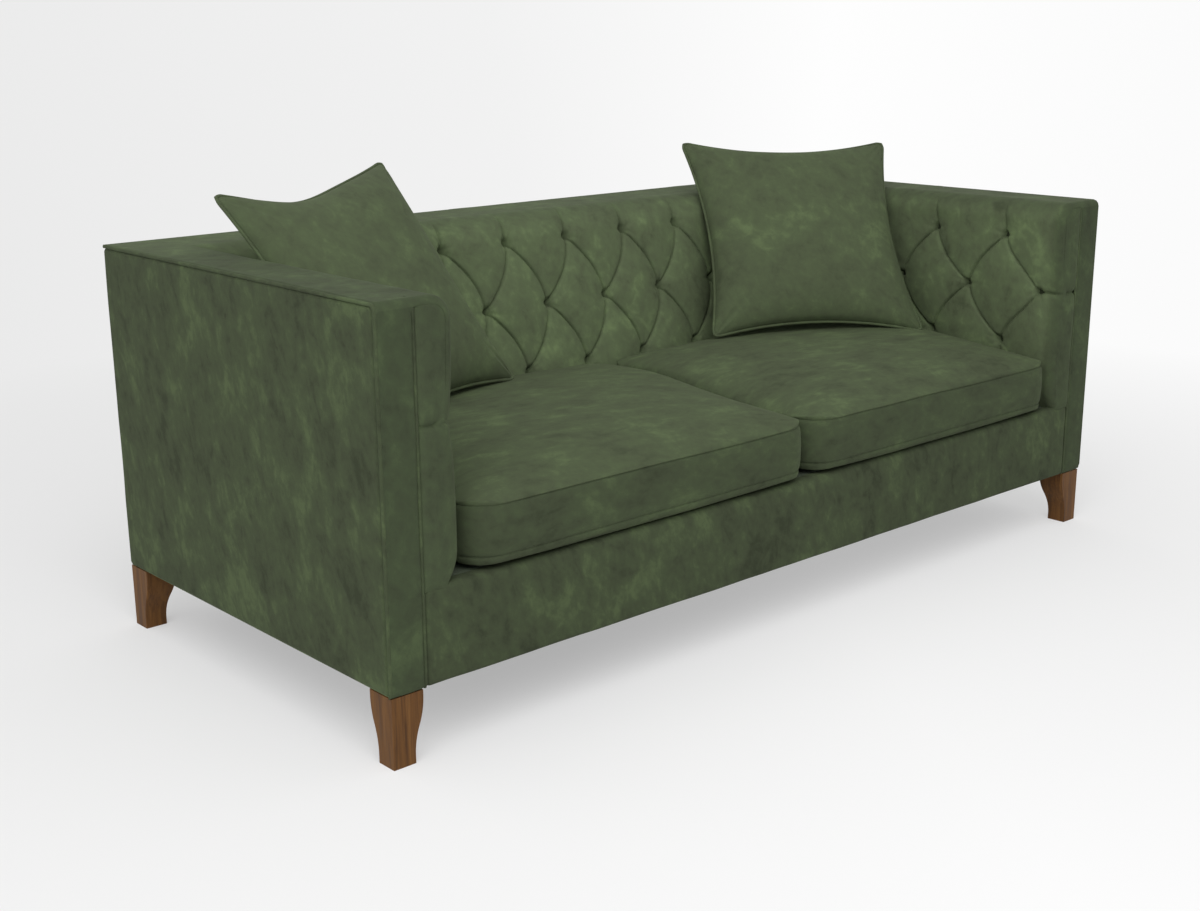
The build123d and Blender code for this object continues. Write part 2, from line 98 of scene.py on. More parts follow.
def weld(points, faces):
    """Joins points that lie on each other."""
    keys = np.round(points * 1e6).astype(np.int64)
    found, first, inverse = np.unique(keys, axis=0, return_index=True, return_inverse=True)
    inverse = inverse.ravel()
    return points[first], [inverse[f] for f in faces]


def piece(name, points, faces, material, body="sofa_body", replaces=(), painted_shade=None):
    """A new mesh that rides on a body and stands for CAD nodes. Its last argument says where its colour
    is darkened as painted shade.
    """
    mesh = bpy.data.meshes.new(name)
    mesh.from_pydata(np.asarray(points).tolist(), [], [tuple(int(i) for i in f) for f in faces])
    mesh.polygons.foreach_set("use_smooth", np.ones(len(mesh.polygons), bool))
    mesh.materials.append(material)
    if painted_shade is not None:
        layer = mesh.attributes.new("painted_shade", "FLOAT", "POINT")
        layer.data.foreach_set("value", np.asarray(painted_shade, np.float32))
    mesh.update()
    made = bpy.data.objects.new(name, mesh)
    scene.collection.objects.link(made)
    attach(made, body)
    if replaces:
        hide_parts(*replaces)
    return made


def spaced(low, high, edge, step):
    """Stations from low to high, close together near both ends."""
    fine = np.linspace(0, edge, 7)[:-1]
    count = max(2, int((high - low - 2 * edge) / step) + 1)
    return np.concatenate([low + fine, np.linspace(low + edge, high - edge, count), high - fine[::-1]])


def soft_box(low, high, radius, step, puff=(0, 0, 0), wander=0.0, seed=0):
    """A box with rounded edges, swelling a little on its broad sides."""
    low, high = np.array(low, float), np.array(high, float)
    stations = [spaced(low[i], high[i], min(radius, 0.49 * (high[i] - low[i])), step) for i in range(3)]
    points, faces = [], []
    for axis in range(3):
        one, two = [i for i in range(3) if i != axis]
        for end, side in ((0, low[axis]), (1, high[axis])):
            a, b = np.meshgrid(stations[one], stations[two], indexing="ij")
            sheet = np.zeros((a.size, 3))
            sheet[:, one], sheet[:, two], sheet[:, axis] = a.ravel(), b.ravel(), side
            start = sum(len(p) for p in points)
            way = (end == 0) ^ (axis == 1)
            faces.append(grid_faces(*a.shape, flip=not way) + start)
            points.append(sheet)
    points, faces = weld(np.concatenate(points), np.concatenate(faces))
    inner_low = np.minimum(low + radius, (low + high) / 2)
    inner_high = np.maximum(high - radius, (low + high) / 2)
    inside = np.clip(points, inner_low, inner_high)
    away = points - inside
    length = np.linalg.norm(away, axis=1)
    outer = length > 1e-9
    reach = np.abs(away).max(axis=1)
    points[outer] = inside[outer] + away[outer] * (reach[outer] / length[outer])[:, None]
    place = (points - (low + high) / 2) / ((high - low) / 2)
    for axis in range(3):
        if puff[axis]:
            one, two = [i for i in range(3) if i != axis]
            swell = (1 - place[:, one] ** 4) * (1 - place[:, two] ** 4)
            points[:, axis] += puff[axis] * place[:, axis] * np.clip(swell, 0, 1)
    if wander:
        for axis in range(3):
            broad, fine = noise(points, 9, seed + axis), noise(points, 24, seed + 5 + axis)
            points[:, axis] += wander * broad + 0.4 * wander * fine
    return points, faces


def tube(path, radius, closed=False, sides=10):
    """A round cord along points."""
    path = np.asarray(path, float)
    ahead = np.roll(path, -1, 0) - np.roll(path, 1, 0)
    if not closed:
        ahead[0], ahead[-1] = path[1] - path[0], path[-1] - path[-2]
    ahead /= np.linalg.norm(ahead, axis=1)[:, None]
    side = np.cross(ahead[0], [0.31, 0.52, 0.79])
    rings = []
    angles = np.linspace(0, 2 * math.pi, sides, endpoint=False)
    cos, sin = np.cos(angles)[:, None], np.sin(angles)[:, None]
    for i in range(len(path)):
        side = side - ahead[i] * (side @ ahead[i])
        side /= np.linalg.norm(side)
        other = np.cross(ahead[i], side)
        rings.append(path[i] + radius * (cos * side + sin * other))
    points = np.concatenate(rings)
    count = len(path)
    faces = []
    for i in range(count if closed else count - 1):
        shift = 0
        if closed and i == count - 1:
            gaps = np.linalg.norm(rings[0] - rings[-1][0], axis=1)
            shift = int(np.argmin(gaps))
        here, there = i * sides, (i + 1) % count * sides
        for k in range(sides):
            n = (k + 1) % sides
            faces.append((here + k, here + n, there + (n + shift) % sides, there + (k + shift) % sides))
    if not closed:
        faces.append(tuple(range(sides))[::-1])
        faces.append(tuple((count - 1) * sides + k for k in range(sides)))
    return points, faces


def line(points, step=0.012):
    """Points at an even step along straight runs."""
    points = np.asarray(points, float)
    out = []
    for a, b in zip(points[:-1], points[1:]):
        count = max(1, int(np.linalg.norm(b - a) / step))
        out.extend(a + (b - a) * t for t in np.linspace(0, 1, count, endpoint=False))
    out.append(points[-1])
    return np.array(out)


# Materials, all from nodes.

def new_material(name):
    made = bpy.data.materials.new(name)
    made.use_nodes = True
    tree = made.node_tree
    return made, tree, tree.nodes["Principled BSDF"], tree.nodes.new("ShaderNodeTexCoord")


def noise_node(tree, source, scale, detail=3.0, rough=0.55, distortion=0.0, stretch=None, turn=None):
    made = tree.nodes.new("ShaderNodeTexNoise")
    made.inputs["Scale"].default_value = scale
    made.inputs["Detail"].default_value = detail
    made.inputs["Roughness"].default_value = rough
    made.inputs["Distortion"].default_value = distortion
    for socket, value in (("Rotation", turn), ("Scale", stretch)):
        if value:
            mapping = tree.nodes.new("ShaderNodeMapping")
            mapping.inputs[socket].default_value = value
            tree.links.new(source, mapping.inputs["Vector"])
            source = mapping.outputs["Vector"]
    tree.links.new(source, made.inputs["Vector"])
    return made.outputs["Fac"]


def blend_values(tree, parts):
    """The weighted sum of several values."""
    total = None
    for value, weight in parts:
        scaled = tree.nodes.new("ShaderNodeMath")
        scaled.operation = "MULTIPLY_ADD"
        tree.links.new(value, scaled.inputs[0])
        scaled.inputs[1].default_value = weight
        scaled.inputs[2].default_value = 0.0
        if total is not None:
            tree.links.new(total, scaled.inputs[2])
        total = scaled.outputs[0]
    return total


def ramp(tree, value, stops):
    made = tree.nodes.new("ShaderNodeValToRGB")
    marks = made.color_ramp.elements
    while len(marks) < len(stops):
        marks.new(0.5)
    for mark, (place, colour) in zip(marks, stops):
        mark.position = place
        mark.color = (*colour, 1)
    tree.links.new(value, made.inputs["Fac"])
    return made.outputs["Color"]


def bump(tree, shader, value, strength, distance):
    made = tree.nodes.new("ShaderNodeBump")
    made.inputs["Strength"].default_value = strength
    made.inputs["Distance"].default_value = distance
    tree.links.new(value, made.inputs["Height"])
    tree.links.new(made.outputs["Normal"], shader.inputs["Normal"])


def velvet(name, stretch, turn=None, shade=1.0, crisp=1.0):
    """Matt short-pile velvet, with the lighter and darker marks that brushed pile shows."""
    made, tree, shader, place = new_material(name)
    source = place.outputs["Object"]
    cloud = noise_node(tree, source, 7.0, 4, 0.55, 0.6)
    smear = noise_node(tree, source, 1.0, 5, 0.58, 0.8, stretch, turn)
    stroke = noise_node(tree, source, 1.0, 4, 0.58, 0.7, tuple(2.8 * s for s in stretch), turn)
    cross = noise_node(tree, source, 1.0, 4, 0.6, 0.5, (40, 40, 14), (0.0, 0.9, 0.7))
    mark = noise_node(tree, source, 60, 4, 0.65, 0.5)
    pile = noise_node(tree, source, 700, 2, 0.7)
    layers = [(cloud, 0.27), (smear, 0.25), (stroke, 0.21), (cross, 0.11), (mark, 0.10), (pile, 0.06)]
    mixed = blend_values(tree, layers)
    # The level scales the whole colour, so the copies are lit and shaded versions of one velvet: painted
    # light and painted shade.
    green = np.array([0.0650, 0.0855, 0.0430]) * shade
    grey, lively = np.array([1.03, 0.98, 1.05]), np.array([0.99, 1.02, 0.94])
    stops = [
        (0.385, green * 0.64 * grey), (0.46, green * 0.90 * grey),
        (0.53, green * 1.07), (0.61, green * 1.52 * lively),
    ]
    colour = ramp(tree, mixed, [(0.5 + (p - 0.5) / crisp, tuple(c)) for p, c in stops])
    # Painted shade: a value on the mesh points multiplies the colour towards this dark grey.
    shade_paint = tree.nodes.new("ShaderNodeAttribute")
    shade_paint.attribute_name = "painted_shade"
    darker = tree.nodes.new("ShaderNodeMix")
    darker.data_type = "RGBA"
    darker.blend_type = "MULTIPLY"
    darker.inputs["B"].default_value = (0.47, 0.48, 0.48, 1)
    tree.links.new(shade_paint.outputs["Fac"], darker.inputs["Factor"])
    tree.links.new(colour, darker.inputs["A"])
    tree.links.new(darker.outputs["Result"], shader.inputs["Base Color"])
    shader.inputs["Roughness"].default_value = 0.92
    shader.inputs["Specular IOR Level"].default_value = 0.15
    shader.inputs["Sheen Weight"].default_value = 0.05
    shader.inputs["Sheen Roughness"].default_value = 0.45
    shader.inputs["Sheen Tint"].default_value = (0.62, 0.72, 0.42, 1)
    bump(tree, shader, blend_values(tree, [(pile, 0.6), (mark, 0.4)]), 0.25, 0.0012)
    return made


def wood(name, dark, mid, light, along, roughness):
    """Straight-grained timber: long fibres, darker pores and slow colour bands."""
    made, tree, shader, place = new_material(name)
    source = place.outputs["Object"]
    fibre = noise_node(tree, source, 1.0, 4, 0.65, 0.5, tuple(8 if a else 190 for a in along))
    band = noise_node(tree, source, 1.0, 2, 0.5, 1.2, tuple(3 if a else 45 for a in along))
    pore = noise_node(tree, source, 1.0, 2, 0.6, 0.0, tuple(30 if a else 900 for a in along))
    mixed = blend_values(tree, [(fibre, 0.45), (band, 0.40), (pore, 0.15)])
    colour = ramp(tree, mixed, [(0.36, dark), (0.50, mid), (0.64, light)])
    tree.links.new(colour, shader.inputs["Base Color"])
    rough = ramp(tree, fibre, [(0.3, (roughness - 0.1,) * 3), (0.7, (roughness + 0.1,) * 3)])
    tree.links.new(rough, shader.inputs["Roughness"])
    shader.inputs["Specular IOR Level"].default_value = 0.22
    bump(tree, shader, blend_values(tree, [(fibre, 0.6), (pore, 0.4)]), 0.2, 0.0006)
    return made


def woven(name, dark, light, threads, roughness=0.9):
    """A plain weave: over-and-under threads with uneven yarn."""
    made, tree, shader, place = new_material(name)
    source = place.outputs["Object"]
    waves = []
    for way in ("X", "Y"):
        wave = tree.nodes.new("ShaderNodeTexWave")
        wave.bands_direction = way
        wave.inputs["Scale"].default_value = threads
        wave.inputs["Distortion"].default_value = 0.6
        wave.inputs["Detail"].default_value = 1
        tree.links.new(source, wave.inputs["Vector"])
        waves.append(wave.outputs["Fac"])
    yarn = noise_node(tree, source, threads * 0.7, 3, 0.6)
    mixed = blend_values(tree, [(waves[0], 0.3), (waves[1], 0.3), (yarn, 0.4)])
    tree.links.new(ramp(tree, mixed, [(0.25, dark), (0.75, light)]), shader.inputs["Base Color"])
    shader.inputs["Roughness"].default_value = roughness
    bump(tree, shader, mixed, 0.4, 0.0008)
    return made


def speckled(name, dark, light, scale, roughness):
    """Foam: uneven colour at a fine scale with a matching relief."""
    made, tree, shader, place = new_material(name)
    source = place.outputs["Object"]
    fine = noise_node(tree, source, scale, 3, 0.6)
    broad = noise_node(tree, source, scale * 0.06, 3, 0.5)
    mixed = blend_values(tree, [(fine, 0.6), (broad, 0.4)])
    tree.links.new(ramp(tree, mixed, [(0.35, dark), (0.65, light)]), shader.inputs["Base Color"])
    shader.inputs["Roughness"].default_value = roughness
    bump(tree, shader, fine, 0.3, 0.0008)
    return made


# Copies of one velvet at different levels: the tufted copy is lightened with painted light, the upright
# copy darkened with painted shade, and the button copy is darkest, painted shade.
velvet_tufted = velvet("velvet_tufted", (13, 13, 10), (0.3, 0.2, 0.0), 1.39)
velvet_upright = velvet("velvet_upright", (15, 15, 7), (0.35, 0.25, 0.0), 0.70, 1.30)
velvet_across = velvet("velvet_across", (7, 17, 15), (0.0, 0.0, 0.12), 0.95)
velvet_scatter = velvet("velvet_scatter", (14, 9, 12), (0.2, 0.3, 0.4), 1.02, 0.85)
velvet_button_painted_shade = velvet("velvet_button_painted_shade", (13, 13, 10), None, 0.40)
leg_wood = wood("leg_wood", (0.056, 0.022, 0.0045), (0.108, 0.045, 0.0100), (0.156, 0.071, 0.0180),
                (0, 0, 1), 0.55)
deck_cloth = woven("deck_cloth", (0.030, 0.040, 0.024), (0.062, 0.080, 0.048), 420)
base_cloth = woven("base_cloth", (0.012, 0.012, 0.013), (0.040, 0.040, 0.042), 380)
foam = speckled("foam", (0.62, 0.58, 0.46), (0.78, 0.74, 0.62), 420, 0.9)


# Buttoned pads. Pleats run through the buttons in two slanted families.
steep_share, steep_power = 0.48, 32
round_share, round_power = 0.52, 2.3
ridge_share, crown_share, crown_uneven = 0.23, 0.54, 0.12
crease_width, crease_depth = 0.0019, 0.0030
gather_count, gather_ring, gather_width, gather_depth = 7, 0.022, 0.012, 0.0008


def pad_rise(near):
    """Height from 0 in a pleat to 1 on a crown: steep beside the pleat, then gently round."""
    away = 1 - near
    return steep_share * (1 - away ** steep_power) + round_share * (1 - away ** round_power)


def creases(one, two, gap):
    """Narrow lines along the pleats of both families, from 0 to 1. Crowns lie the gap away from them."""
    lines = [np.exp(-((near * gap / crease_width) ** 2)) for near in (one, two)]
    return np.maximum(*lines)


def pleat_bow(w, row):
    """How far pleats bow to one side between their buttons, as folded cloth does, from 0 to 1."""
    return np.abs(np.sin(math.pi * np.clip(w / row, -1, 1)))


def tuft(u, w, pitch, row, first, last, seed):
    """Fullness from 0 in a pleat to 1 on a crown, and how near each family of pleats is."""
    u = np.clip(u, first, last)
    w = np.clip(w, -row, row)
    one = u / pitch - w / (2 * row)
    two = u / pitch + w / (2 * row)
    off_one = one - np.floor(one) - 0.5
    off_two = two - np.floor(two) - 0.5
    near_one, near_two = 2 * np.abs(off_one), 2 * np.abs(off_two)
    full_one, full_two = pad_rise(near_one), pad_rise(near_two)
    cell = np.stack([np.floor(one), np.floor(two), np.zeros_like(one)], -1).reshape(-1, 3)
    uneven = 1 + crown_uneven * noise(cell + 0.5, 0.73, seed).reshape(one.shape)
    fullness = ridge_share * (full_one + full_two) + crown_share * full_one * full_two * uneven
    return fullness, near_one, near_two


def button_pits(u, w, buttons, depth, spread):
    """Depth of the narrow dimples over the buttons, with small gathers running into them."""
    total = np.zeros_like(u)
    for index, (bu, bw) in enumerate(buttons):
        far = np.hypot(u - bu, w - bw)
        turn = np.arctan2(w - bw, u - bu)
        total = np.maximum(total, depth * np.exp(-((far / spread) ** 2)))
        ring = np.exp(-(((far - gather_ring) / gather_width) ** 2))
        total += gather_depth * (np.sin(gather_count * turn + 1.7 * index) * ring)
    return total


# Inside back: crown line from the deck up the leaning face and over the top.
lean = math.radians(15)
back_pitch, back_row = 0.1785, 0.147
back_crest, back_groove, back_bow = 0.079, 0.0185, 0.018
back_gap, back_pit, back_pit_width = 0.076, 0.0225, 0.0095
side_start, side_round, side_limit = 0.862, 0.048, 0.0469
row_y, row_z = 0.3080, 0.5855
back_turn = 0.075
back_top_painted_shade = 0.55
foot_y = 0.1835
s_foot = (foot_y - row_y + back_crest * math.cos(lean)) / math.sin(lean)
s_top = (arm_top - row_z - back_crest * math.sin(lean)) / math.cos(lean)
s_turn = s_top - back_turn * math.tan((math.pi / 2 - lean) / 2)
s_flat = s_turn + back_turn * (math.pi / 2 - lean)


def back_line(s):
    """Place and outward direction, in y and z, on the crown line."""
    out = np.zeros((len(s), 4))
    for i, v in enumerate(s):
        if v < s_foot:
            y = foot_y
            z = row_z + s_foot * math.cos(lean) + back_crest * math.sin(lean) + (v - s_foot)
            out[i] = y, z, -1, 0
        elif v < s_turn:
            y = row_y + v * math.sin(lean) - back_crest * math.cos(lean)
            z = row_z + v * math.cos(lean) + back_crest * math.sin(lean)
            out[i] = y, z, -math.cos(lean), math.sin(lean)
        else:
            angle = min(lean + (v - s_turn) / back_turn, math.pi / 2)
            cy = row_y + s_turn * math.sin(lean) - (back_crest - back_turn) * math.cos(lean)
            cz = row_z + s_turn * math.cos(lean) + (back_crest - back_turn) * math.sin(lean)
            y = cy - back_turn * math.cos(angle) + max(0, v - s_flat)
            z = cz + back_turn * math.sin(angle)
            out[i] = y, z, -math.cos(angle), math.sin(angle)
    return out


def make_back():
    fine = 44
    du, dw = back_pitch / 2 / fine, back_row / fine
    end, s_start = 0.909, -0.302
    u = np.arange(-math.ceil(end / du), math.ceil(end / du) + 1) * du
    u[0], u[-1] = -end, end
    s_end = s_flat + pad_rear - back_line(np.array([s_flat]))[0, 0]
    s = np.arange(math.floor(s_start / dw), math.floor(s_end / dw) + 1) * dw
    s = np.append(s, s_end)
    across, along = np.meshgrid(u, s)
    full, one, two = tuft(across, along, back_pitch, back_row, -4.5 * back_pitch, 4.5 * back_pitch, 3)
    buttons = [(k * back_pitch, w) for w in (-back_row, back_row) for k in range(-4, 5)]
    buttons += [((k + 0.5) * back_pitch, 0) for k in range(-5, 5)]
    sink = (1 - full) * back_groove * (1 - smooth_step(along, 0.152, 0.226))
    sink += crease_depth * creases(one, two, back_gap) * (1 - smooth_step(along, 0.200, 0.240))
    sink += button_pits(across, along, buttons, back_pit, back_pit_width)
    inner = 1 - smooth_step(np.abs(across), 4.2 * back_pitch, 4.9 * back_pitch)
    across = across + back_bow * pleat_bow(along, back_row) * inner
    # The sides turn in beside the arms, and the top spreads to the corners.
    edge = np.clip(np.abs(across) - side_start, 0, side_limit)
    on_top = smooth_step(along, s_turn, s_flat)
    sink += (side_round - np.sqrt(side_round ** 2 - edge ** 2)) * (1 - on_top)
    across = across * (1 + 0.036 * on_top * smooth_step(np.abs(across), 0.80, 0.90))
    base = back_line(s)
    turn = smooth_step(s, 0.180, 0.230)[:, None]
    slope = np.array([-math.cos(lean), math.sin(lean)])
    out = np.where(s[:, None] < s_foot, base[:, 2:], slope * (1 - turn) + base[:, 2:] * turn)
    out /= np.linalg.norm(out, axis=1)[:, None]
    y = base[:, 0][:, None] - out[:, 0][:, None] * sink
    z = base[:, 1][:, None] - out[:, 1][:, None] * sink
    points = np.stack([across, y, z], -1).reshape(-1, 3)
    ripple = 0.0011 * noise(points, 14, 1) + 0.0005 * noise(points, 42, 2)
    points[:, 1] += np.repeat(out[:, 0], len(u)) * ripple
    points[:, 2] += np.repeat(out[:, 1], len(u)) * ripple
    centre_one = (one[:-1, :-1] + one[1:, 1:]) / 2
    centre_two = (two[:-1, 1:] + two[1:, :-1]) / 2
    faces = split_faces(len(s), len(u), centre_one <= centre_two)
    # Painted shade darkens the top of the back.
    painted_shade = back_top_painted_shade * smooth_step(along, s_turn, s_flat + 0.01).ravel()
    made = piece("inside_back_pad", points, faces, velvet_tufted, replaces=["inside_back"], painted_shade=painted_shade)


# Inside arms: crown line from the deck up the inner face and over the top.
arm_pitch, arm_row = 0.204, 0.129
arm_groove, arm_turn, arm_bow = 0.0145, 0.045, 0.015
arm_gap, arm_pit, arm_pit_width = 0.080, 0.0170, 0.0090
arm_mid_z, arm_mid_y = 0.590, -0.313
arm_outer = 1.0462
arm_front_painted_shade, right_top_painted_shade, left_top_fade = 0.87, 0.58, 0.43
end_swell, end_pinch, end_line, end_tuck = 0.0030, 0.0055, 0.0035, 0.005


def make_arm(side):
    name = "left" if side < 0 else "right"
    fine = 42
    du, dw = arm_pitch / 2 / fine, arm_row / fine
    first, last = -arm_pitch / 2, 2.5 * arm_pitch
    u_low, u_high = arm_front - arm_mid_y, pad_rear - arm_mid_y
    u = np.arange(math.ceil(u_low / du + 0.2), math.floor(u_high / du)) * du
    u = np.concatenate([u_low + np.array([0, 0.0004, 0.0012, 0.0022]), u[u > u_low + 0.003], [u_high]])
    face_top = arm_top - arm_turn - arm_mid_z
    arc_end = face_top + arm_turn * math.pi / 2
    s_start = deck_height - 0.004 - arm_mid_z
    s_end = arc_end + (arm_outer - inside_half - arm_turn)
    s = np.arange(math.floor(s_start / dw), math.floor(s_end / dw) + 1) * dw
    s = np.append(s, s_end)
    along, height = np.meshgrid(u, s)
    full, one, two = tuft(along, height, arm_pitch, arm_row, first, last, 11 if side < 0 else 23)
    buttons = [(k * arm_pitch, w) for w in (-arm_row, arm_row) for k in range(3)]
    buttons += [((k - 0.5) * arm_pitch, 0) for k in range(4)]
    sink = (1 - full) * arm_groove * (1 - smooth_step(height, 0.136, 0.212))
    sink += crease_depth * creases(one, two, arm_gap) * (1 - smooth_step(height, 0.185, 0.225))
    sink += button_pits(along, height, buttons, arm_pit, arm_pit_width)
    bowed = arm_bow * pleat_bow(height, arm_row) * smooth_step(along, -0.09, 0.0)
    bowed *= 1 - smooth_step(along, 0.42, 0.52)
    # The front edge turns in, more on the inner side than on the top.
    ahead = along - u_low
    turn_in = 0.020 - 0.006 * smooth_step(height, face_top - 0.02, arc_end)
    inward = np.clip(turn_in - ahead, 0, None)
    sink += turn_in - np.sqrt(np.clip(turn_in ** 2 - inward ** 2, 0, None))
    foot = np.clip(1 - (height + arm_mid_z - deck_height) / 0.055, 0, 1)
    sink += 0.020 * foot ** 2 * (1 - smooth_step(ahead, 0.02, 0.16))
    angle = np.clip((s - face_top) / arm_turn, 0, math.pi / 2)
    x = inside_half + arm_turn * (1 - np.cos(angle)) + np.clip(s - arc_end, 0, None)
    z = arm_mid_z + np.minimum(s, face_top) + arm_turn * np.sin(angle)
    out_x, out_z = np.cos(angle), np.sin(angle)
    place_x = x[:, None] + out_x[:, None] * sink
    place_z = z[:, None] - out_z[:, None] * sink
    place_z -= 0.0040 * smooth_step(place_x, 1.0400, arm_outer) * (height > face_top)
    points = np.stack([side * place_x, along + bowed + arm_mid_y, place_z], -1).reshape(-1, 3)
    ripple = 0.0010 * noise(points, 14, 7) + 0.0005 * noise(points, 42, 8)
    ripple *= smooth_step(ahead, 0, 0.03).ravel()
    points[:, 0] -= side * np.repeat(out_x, len(u)) * ripple
    points[:, 2] += np.repeat(out_z, len(u)) * ripple
    centre_one = (one[:-1, :-1] + one[1:, 1:]) / 2
    centre_two = (two[:-1, 1:] + two[1:, :-1]) / 2
    faces = [split_faces(len(s), len(u), centre_one <= centre_two, flip=side > 0)]
    # Front end of the pad, between its turned edge and the seam beside the strip.
    rim = points.reshape(len(s), len(u), 3)[:, 0]
    seam = strip_seam
    rows = [i for i in range(len(s)) if abs(rim[i, 0]) < seam]
    steps = np.linspace(0, 1, 30)
    cap = np.zeros((len(rows), len(steps), 3))
    for r, i in enumerate(rows):
        cap[r, :, 0] = rim[i, 0] + (side * seam - rim[i, 0]) * steps
        cap[r, :, 2] = rim[i, 2]
        level = min(abs(s[i]) / arm_row, 1)
        pinch = (1 - level) ** 12
        narrow = math.exp(-((s[i] / 0.0034) ** 2))
        swell = smooth_step(steps, 0, 0.5) * (1 - smooth_step(steps, 0.72, 1))
        foot_in = max(0, 1 - (rim[i, 2] - deck_height) / 0.03)
        room = min(1, abs(rim[i, 0] - side * seam) / 0.03)
        cap[r, :, 1] = arm_front - swell * room * end_swell * (1 - foot_in ** 2)
        cap[r, :, 1] += (end_pinch * pinch + end_line * narrow) * smooth_step(steps, 0, 0.3) * room
        cap[r, :, 1] += end_tuck * smooth_step(np.abs(cap[r, :, 0]), seam - 0.006, seam) * room
    cap = cap.reshape(-1, 3)
    cap[:, 1] += 0.0008 * noise(cap, 18, 9) * (np.abs(cap[:, 0]) < seam - 0.004)
    cells = grid_faces(len(rows), len(steps), flip=side < 0) + len(points)
    faces += [cells[:, [0, 1, 2]], cells[:, [0, 2, 3]]]
    all_points, all_faces = weld(np.concatenate([points, cap]), np.concatenate(faces))
    all_faces = [f for f in all_faces if len(set(f)) == 3]
    # Painted shade: the colour is darker on the front end and along the top.
    on_front = arm_front_painted_shade * (1 - smooth_step(all_points[:, 1] - arm_front, 0.004, 0.034))
    on_top = smooth_step(all_points[:, 2], arm_top - 0.045, arm_top - 0.003)
    left_top = 1 - left_top_fade * smooth_step(all_points[:, 1], 0.10, 0.42)
    on_top *= right_top_painted_shade if side > 0 else left_top
    made = piece(f"inside_arm_{name}_pad", all_points, all_faces, velvet_tufted,
                 replaces=[f"inside_arm_{name}"], painted_shade=np.maximum(on_front, on_top))


# Outer panels, front strips, border and the cloths under the seat.

def make_strip(side):
    """The flat front strip of an arm, turning over at its outer edge and at its foot."""
    name = "left" if side < 0 else "right"
    inner, outer, turn = strip_seam, half_width - 0.001, 0.007
    top, foot_turn = arm_top - 0.014, 0.011
    foot = base_height + foot_turn
    columns, rows = 16, 150
    flat = np.linspace(inner, outer - turn, columns)
    bend = np.linspace(0, math.pi / 2, 8)[1:]
    xs = np.concatenate([flat, outer - turn + turn * np.sin(bend)])
    back = np.concatenate([np.zeros(columns), turn - turn * np.cos(bend)])
    heights = np.concatenate([np.linspace(top, foot, rows), foot - foot_turn * np.sin(bend)])
    foot_back = np.concatenate([np.zeros(rows), foot_turn - foot_turn * np.cos(bend)])
    a, b = np.meshgrid(xs, heights)
    ya, yb = np.meshgrid(back, foot_back)
    share = np.clip((a - inner) / (outer - turn - inner), 0, 1)
    swell = 0.0014 * np.sin(math.pi * share) * smooth_step(top - b, 0, 0.06)
    tuck = 0.005 * (1 - smooth_step(a, inner, inner + 0.006)) * smooth_step(top - b, 0, 0.012)
    y = arm_front + np.maximum(ya, yb) - swell + tuck
    points = np.stack([side * a, y, b], -1).reshape(-1, 3)
    held = smooth_step(points[:, 2], base_height, base_height + 0.03)
    held *= smooth_step(top - points[:, 2], 0, 0.03)
    points[:, 1] += 0.0007 * noise(points, 16, 31) * held
    faces = grid_faces(*a.shape, flip=side > 0)
    # Painted shade darkens the whole front strip.
    made = piece(f"front_facing_{name}_cover", points, faces, velvet_tufted,
                 replaces=[f"front_facing_{name}"], painted_shade=np.ones(len(points)))


def make_outside_arm(side):
    name = "left" if side < 0 else "right"
    low = [half_width - 0.024, arm_front + 0.0055, base_height]
    high = [half_width - 0.001, back_face - 0.0005, panel_top]
    points, faces = soft_box(low, high, 0.011, 0.02, (0.004, 0, 0), 0.0007, 41)
    points[:, 0] *= side
    if side < 0:
        faces = [f[::-1] for f in faces]
    made = piece(f"outside_arm_{name}_cover", points, faces, velvet_upright,
                 replaces=[f"outside_arm_{name}"])


def make_panels():
    half = 1.0255
    low, high = [-half, back_face - 0.022, base_height], [half, back_face - 0.001, panel_top]
    points, faces = soft_box(low, high, 0.010, 0.02, (0, 0.004, 0), 0.0007, 51)
    made = piece("outside_back_cover", points, faces, velvet_upright, replaces=["outside_back"])
    half = 0.9735
    low, high = [-half, arm_front, base_height], [half, arm_front + 0.036, deck_height]
    points, faces = soft_box(low, high, 0.012, 0.018, (0, 0.004, 0), 0.0008, 61)
    made = piece("front_border_cover", points, faces, velvet_upright, replaces=["front_border"])
    half = 0.972
    low, high = [-half, arm_front + 0.030, deck_height - 0.020], [half, 0.2265, deck_height]
    points, faces = soft_box(low, high, 0.008, 0.02)
    across = np.clip(1 - (points[:, 0] / half) ** 4, 0, 1)
    along = np.clip(1 - ((points[:, 1] + 0.11) / 0.34) ** 4, 0, 1)
    points[:, 2] -= 0.003 * across * along
    made = piece("deck_pad_cover", points, faces, deck_cloth, replaces=["deck_pad"])


def make_base_cloth():
    """Dust cloth tacked under the frame, sagging a little between the rails."""
    nx, ny = 121, 61
    half = 1.031
    x = np.linspace(-half, half, nx)
    y = np.linspace(arm_front + 0.018, back_face - 0.018, ny)
    a, b = np.meshgrid(x, y)
    hang = np.clip(1 - (a / half) ** 6, 0, 1) * np.clip(1 - ((b - 0.005) / 0.4605) ** 6, 0, 1)
    points = np.stack([a, b, base_height + 0.0007 - 0.0045 * hang], -1).reshape(-1, 3)
    points[:, 2] += 0.0007 * noise(points, 10, 71) * hang.ravel()
    made = piece("base_cloth_sheet", points, grid_faces(ny, nx, flip=True), base_cloth,
                 replaces=["base_cloth"])


# Radii of the piping.
arm_cord, facing_cord, back_cord, scatter_cord = 0.0033, 0.0034, 0.0036, 0.0034


